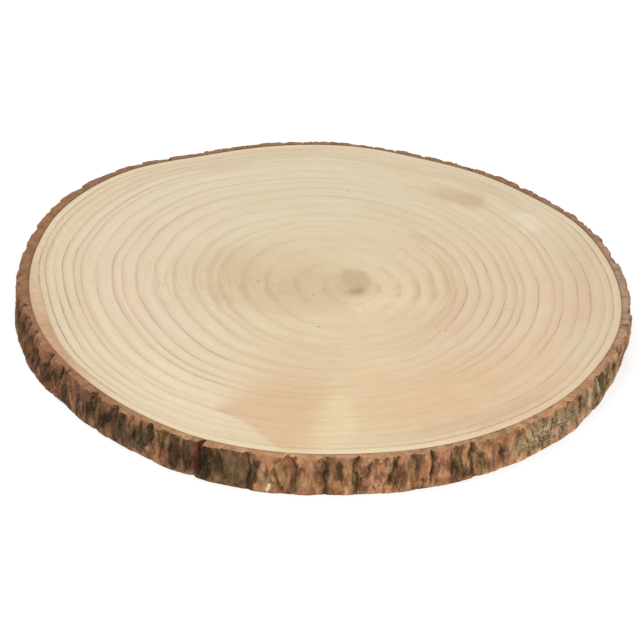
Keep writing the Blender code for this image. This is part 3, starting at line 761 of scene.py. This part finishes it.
def side_cracks(angle, edge, height, turns, up):
    """How dark, in own colour and painted shade, and how deep in mm each point of the side is cracked.

    Both are a bell curve, the dark one narrower, of the distance to the nearest stretch of a crack: a straight line
    between two of its places. A drift first pushes the points about, which makes the line ragged and uneven.
    """
    push_across = 0.75 * layered_drift(200, turns, up, 190, 4, 3)
    push_up = 0.8 * layered_drift(210, turns, up, 190, 4, 2)
    uneven = 1 + 0.6 * layered_drift(220, turns, up, 230, 5, 2)
    dark, deep = 0 * angle, 0 * angle
    for half, depth, *places in SIDE_CRACKS:
        for (start_direction, low), (end_direction, high) in zip(places, places[1:]):
            across = (angle - math.radians(start_direction)) * edge / MM + push_across
            above = height / MM - low + push_up
            run = math.radians(end_direction - start_direction) * edge / MM
            along = np.clip((across * run + above * (high - low)) / (run ** 2 + (high - low) ** 2), 0, 1)
            away = np.hypot(across - along * run, above - along * (high - low)) / (half * uneven)
            dark = np.maximum(dark, np.exp(-(1.6 * away) ** 2))
            deep = np.maximum(deep, depth * np.exp(-(0.7 * away) ** 2))
    return dark, deep


def flake_net(seed, turns, up, across, high):
    """Irregular flakes: how far each point is from the nearest joint in mm, and a chance number for its flake.

    One seed lies somewhere in each box of a grid round the bark, and a point belongs to its nearest seed. The joint
    is where two seeds are equally near, so the distance is half the difference of the nearest two.
    """
    chance = np.random.default_rng(seed)
    seeds = chance.uniform(0.1, 0.9, (high, across, 2))
    heights = chance.uniform(0, 1, (high, across))
    column = turns * across + 0.5 * layered_drift(seed + 1, turns, up, across * 2, high * 2, 2)
    row = up * high + 0.4 * layered_drift(seed + 4, turns, up, across * 2, high * 2, 2)
    box = (TURN * WOOD_EDGE.mean() / MM / across, THICKNESS / MM / high)
    nearest, second, flake = 1e9 + 0 * column, 1e9 + 0 * column, 0 * column
    for step_across in (-1, 0, 1):
        for step_up in (-1, 0, 1):
            left, low = np.floor(column).astype(int) + step_across, np.floor(row).astype(int) + step_up
            seed_place = seeds[low % high, left % across]
            away = np.hypot((left + seed_place[..., 0] - column) * box[0], (low + seed_place[..., 1] - row) * box[1])
            second = np.minimum(second, np.maximum(nearest, away))
            flake = np.where(away < nearest, heights[low % high, left % across], flake)
            nearest = np.minimum(nearest, away)
    return (second - nearest) / 2, flake


def side_colour(angle, edge, height, turns, up, tone, within, dark, deep):
    """The bark's tan, lighter or darker with tone, then the patches, the furrows and the cracks laid over it.

    A patch is a leaning ellipse whose edge is broken by a drift. Its own tone follows the fibres too. The upper
    part of the side is tan where it is worn. The furrows and cracks are darker with their own colour and with
    painted shade.
    """
    low, middle, high = (linear(shade) for shade in BARK_TAN)
    colour = low + (middle - low) * smooth_step(-0.85, -0.15, tone)[..., None]
    colour += (high - colour) * smooth_step(0.15, 0.9, tone)[..., None]
    red = smooth_step(0.1, 0.6, layered_drift(250, turns, up, 130, 2, 3))[..., None]
    colour += (linear((166, 108, 80)) - colour) * 0.5 * red
    broken = 0.55 * layered_drift(230, turns, up, 260, 5, 3)
    shade = (1 + 0.5 * tone + 0.25 * layered_drift(240, turns, up, 420, 3, 2))[..., None]
    for direction, centre, half_across, half_up, lean, soft, patch, strength in SIDE_PATCHES:
        turned = (angle - math.radians(direction) + math.pi) % TURN - math.pi
        above = height / MM - centre
        away = np.hypot((turned * edge / MM - lean * above) / half_across, above / half_up)
        edge_noise = broken * np.clip(2.0 / half_across, 0.2, 0.65)
        cover = strength * (1 - smooth_step(1 - soft, 1 + 0.6 * soft, away + edge_noise))
        colour += (np.clip(linear(patch) * shade, 0, 1) - colour) * cover[..., None]
    streaks = lobes(((208, 15, 0.6),), angle) * smooth_step(0.05, 0.5, layered_drift(260, turns, up, 330, 2, 3))
    colour += (linear((30, 22, 17)) - colour) * np.clip(streaks, 0, 1)[..., None]
    worn = lobes(((200, 17, 0.9),), angle) * smooth_step(13, 16.5, height / MM + 3 * broken)
    colour += (linear((160, 112, 83)) - colour) * np.clip(worn, 0, 1)[..., None]
    # Olive and darker deeper in each furrow: partly the furrow bark's own colour, partly painted shade.
    furrow = 0.42 * smooth_step(0.3, 1.0, within + 0.3 * broken)[..., None]
    colour += (0.3 * colour + 0.7 * linear((84, 66, 38)) - colour) * furrow
    # Brown round the deep cracks and near-black in them, darker towards 214 degrees: the cracks' own colour and painted
    # shade in them.
    colour += (linear((104, 82, 52)) - colour) * (0.4 * smooth_step(0.2, 1.1, deep + 0.4 * broken))[..., None]
    cracked = (0.66 + lobes(((214, 28, 0.24),), angle)) * smooth_step(0.2, 0.9, dark)
    colour += (linear((40, 31, 20)) - colour) * cracked[..., None]
    return colour


def make_bark():
    """The ring of bark as one closed grid: up the outside, in across the upper face, down inside and out again."""
    bark = grow_bark()
    plate, across = bark_columns(bark)
    height = np.linspace(0, THICKNESS, BARK_LEVELS)[:, None]
    angle, edge, outer, within = bark_point(bark, plate, across, height)
    turns, up = angle / TURN, height / THICKNESS + 0 * angle

    leaning = turns + 0.0022 * (up - 0.5) * layered_drift(35, turns, up, 70, 2, 2)
    lumps = layered_drift(40, turns, up, 150, 3, 2)
    fibres = layered_drift(50, leaning, up, 420, 3, 3)
    joint, flake = flake_net(60, leaning, up, 125, 2)
    small_joint, small_flake = flake_net(70, leaning, up, 300, 3)
    unseen = 1 - smooth_step(-0.35, -0.2, np.cos(angle - math.radians(262)))
    cracked = smooth_step(-0.25, 0.25, drift(75, turns, up, 60, 2)) * (0.3 + 0.7 * unseen)
    cracks = np.exp(-(joint / 0.4) ** 2) * cracked
    fissures = 0.5 * np.exp(-(small_joint / 0.3) ** 2) * smooth_step(-0.5, 0.5, drift(76, turns, up, 90, 3))
    dark, deep = side_cracks(angle, edge, height, turns, up)
    outer = outer + MM * (0.25 * lumps + 0.22 * fibres + 0.7 * (flake - 0.5) + 0.4 * (small_flake - 0.5))
    outer = outer - MM * (deep + 0.9 * cracks + 0.4 * fissures)

    ragged = np.clip(1 + 0.8 * layered_drift(90, turns, 0 * up, 160, 1, 3), 0.3, 2)
    upper = np.exp((height - THICKNESS) / (CHIP_REACH * ragged))
    lower = np.exp(-height / (CHIP_REACH * ragged))
    depth = outer - bark["chip"][plate] * (upper + LOWER_CHIP * lower)
    depth = np.maximum(depth, THINNEST_BARK + 0.25 * MM * fibres)
    beside = sum(np.roll(depth, step, axis=1) for step in range(-14, 15)) / 29
    depth = depth + 0.6 * np.exp(-height / (2.5 * MM)) * (beside - depth)
    loops = [np.stack([angle, edge + depth, height + 0 * angle], -1)]

    shares_in = np.array([0.97, 0.6, 0.3, 0.1, 0.0])[:, None]
    rim_angle, rim_edge, rim_depth = (values[-1] + 0 * shares_in for values in (angle, edge, depth))
    crack = face_crack(rim_angle, rim_edge, shares_in)
    grain = np.abs(layered_drift(95, rim_angle / TURN, shares_in + 0 * rim_angle, 500, 3, 2))
    sunk = MM * (1.4 * crack + 0.06 * grain)
    rim_distance = rim_edge + 0.2 * MM + shares_in * (rim_depth - 0.2 * MM)
    loops.append(np.stack([rim_angle, rim_distance, THICKNESS - sunk], -1))
    foot_angle, foot_edge, foot_depth = (values[0] + 0 * shares_in for values in (angle, edge, depth))
    foot_distance = foot_edge + 0.2 * MM + shares_in[::-1] * (foot_depth - 0.2 * MM)
    loops.append(np.stack([foot_angle, foot_distance, 0 * foot_angle], -1))
    grid = np.concatenate(loops)
    x = PITH[0] + grid[..., 1] * np.cos(grid[..., 0])
    y = PITH[1] + grid[..., 1] * np.sin(grid[..., 0])
    x, y = np.clip(x, cad_low[0], cad_high[0]), np.clip(y, cad_low[1], cad_high[1])
    made = closed_grid("bark_ring", np.stack([x, y, grid[..., 2]], -1), ends_meet=True)

    tone = fibres + 0.9 * (flake - 0.5) + 0.7 * (small_flake - 0.5) + 0.35 * lumps
    # The flake-net cracks and fissures are sunk and take the same near-black, partly painted shade.
    dark = np.maximum(dark, 0.9 * cracks)
    side = side_colour(angle, edge, height, turns, up, tone, within, np.maximum(dark, 0.4 * fissures), deep)
    sawn_tan = linear((152, 113, 84)) + 0 * rim_angle[..., None]
    shades = ((258, 38, (188, 145, 108)), (312, 42, (183, 140, 103)), (199, 22, (160, 114, 86)), (2, 26, (178, 146, 122)))
    for direction, spread, shade in shades:
        cover = np.clip(lobes(((direction, spread, 1.0),), rim_angle), 0, 1)[..., None]
        sawn_tan += (linear(shade) - sawn_tan) * cover
    sawn_tan *= (1 + 0.2 * layered_drift(97, rim_angle / TURN, shares_in + 0 * rim_angle, 240, 2, 3))[..., None]
    border = 0.45 * smooth_step(0.2, 0.0, shares_in)[..., None]
    sawn_tan += (linear((116, 80, 56)) - sawn_tan) * border
    # Near-black in the cracks across the sawn rim: their own colour and painted shade in them.
    sawn_tan += (linear((44, 32, 24)) - sawn_tan) * smooth_step(0.1, 0.7, crack)[..., None]
    foot_tan = linear((150, 112, 82)) + 0 * foot_angle[..., None]
    set_attribute(made, "tint", np.concatenate([side, sawn_tan, foot_tan]), True)
    flat = np.zeros((len(grid) - BARK_LEVELS, BARK_COLUMNS))
    lichen = lobes(LICHEN, angle) * smooth_step(2.5, 5, height / MM) * smooth_step(18, 15, height / MM) * (1 - dark)
    set_attribute(made, "lichen", np.concatenate([lichen, flat]), True)
    set_attribute(made, "sawn", np.concatenate([0 * angle, 1 + flat]), True)
    return made


def bark_finish():
    """The colours of the side and the sawn rim, broken up finely by fibres, crumbs and specks of lichen."""
    f = Finish("bark")
    place = f.place()
    fibres = f.noise(f.place(scale=(1, 1, 0.3)), 520, 3, 0.6)
    crumbs = f.noise(place, 900, 3, 0.65)
    blotches = f.noise(f.place(scale=(1, 1, 0.6)), 210, 2, 0.5)
    grains = f.noise(place, 1150, 2, 0.6)
    side = f.math("SUBTRACT", 1.0, f.attribute("sawn"))
    joints = f.fade(f.joints(f.place(scale=(1, 1, 0.5)), 270), 0.1, 0.02)
    joints = f.math("MULTIPLY", f.math("MULTIPLY", joints, side), f.fade(blotches, 0.6, 0.35))
    colour = f.attribute("tint", "Color")
    colour = f.mix(f.fade(blotches, 0.5, 0.32, 0.0, 0.3), colour, (104, 76, 50))
    colour = f.mix(f.fade(fibres, 0.52, 0.3, 0.0, 0.28), colour, (66, 46, 30))
    lighter = f.math("ADD", f.fade(blotches, 0.5, 0.7, 0.0, 0.3), f.fade(fibres, 0.5, 0.72, 0.0, 0.3))
    on_rim = f.math("ADD", f.math("MULTIPLY", side, 0.65), 0.35)
    colour = f.scaled(colour, f.math("ADD", f.math("MULTIPLY", lighter, on_rim), 1.0))
    colour = f.mix(f.fade(crumbs, 0.5, 0.3, 0.0, 0.35), colour, (70, 50, 34))
    colour = f.mix(f.math("MULTIPLY", joints, 0.35), colour, (70, 51, 34))
    chips = f.math("MULTIPLY", f.fade(crumbs, 0.58, 0.72), side)
    colour = f.mix(f.math("MULTIPLY", chips, 0.32), colour, (186, 152, 116))
    specks = f.math("MULTIPLY", f.fade(grains, 0.52, 0.62), f.attribute("lichen"))
    colour = f.mix(f.math("MULTIPLY", specks, 0.8), colour, (208, 190, 162))
    gaps = f.math("MULTIPLY", f.fade(grains, 0.47, 0.36), f.attribute("lichen"))
    colour = f.mix(f.math("MULTIPLY", gaps, 0.75), colour, (84, 68, 46))
    f.set("Base Color", colour)
    f.set("Roughness", f.fade(crumbs, 0.2, 0.8, 0.8, 0.95))
    f.set("Specular IOR Level", 0.05)
    height = f.math("ADD", f.math("MULTIPLY", fibres, 1.0), f.math("MULTIPLY", crumbs, 0.6))
    f.bump(f.math("SUBTRACT", height, f.math("MULTIPLY", joints, 0.8)), 0.5 * MM)
    return f.material


bark = make_bark()
bark.data.materials.append(bark_finish())
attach(bark, "root")
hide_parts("bark")

# Floor, light and camera
# A plain white floor, a wide soft light from above and in front, and the camera where the photograph was taken:
# 32.5 degrees above the sawn face, which it sees with the pith a little right of the middle.
CAMERA_FROM_PITH = MM * np.array([-20.24, -874.63, 536.65])
CAMERA_DOWN = 32.5
LENS = 101.25
SENSOR = 36.0


def add_floor():
    """A square of floor three metres wide, at the height of the underside."""
    mesh = bpy.data.meshes.new("floor")
    mesh.from_pydata([(-3, -3, 0), (3, -3, 0), (3, 3, 0), (-3, 3, 0)], [], [(0, 1, 2, 3)])
    floor = bpy.data.objects.new("floor", mesh)
    bpy.context.scene.collection.objects.link(floor)
    white = Finish("white_floor")
    white.set("Base Color", (172, 172, 172))
    white.set("Roughness", 0.9)
    white.set("Specular IOR Level", 0.0)
    white.set("Emission Color", (255, 255, 255))
    white.set("Emission Strength", 0.66)
    mesh.materials.append(white.material)


def add_light(name, size, power, place, aim=(0, 0, 0)):
    """A square soft light at a place, turned towards a point."""
    data = bpy.data.lights.new(name, "AREA")
    data.shape = "SQUARE"
    data.size = size
    data.energy = power
    light = bpy.data.objects.new(name, data)
    light.location = place
    light.rotation_euler = (Vector(aim) - Vector(place)).to_track_quat("-Z", "Y").to_euler()
    bpy.context.scene.collection.objects.link(light)


add_floor()
add_light("overhead", 1.6, 18, (-0.3, 0.1, 1.8))
add_light("front", 1.2, 11, (0.6, -1.4, 0.9))
world = bpy.data.worlds.new("studio")
world.use_nodes = True
world.node_tree.nodes["Background"].inputs["Color"].default_value = (1, 1, 1, 1)
world.node_tree.nodes["Background"].inputs["Strength"].default_value = 0.48
bpy.context.scene.world = world
bpy.context.scene.view_settings.view_transform = "Standard"

camera_data = bpy.data.cameras.new("camera")
camera_data.lens = LENS
camera_data.sensor_width = SENSOR
camera = bpy.data.objects.new("camera", camera_data)
camera.location = np.array([*PITH, THICKNESS]) + CAMERA_FROM_PITH
camera.rotation_euler = (math.radians(90 - CAMERA_DOWN), 0, 0)
bpy.context.scene.collection.objects.link(camera)
bpy.context.scene.camera = camera
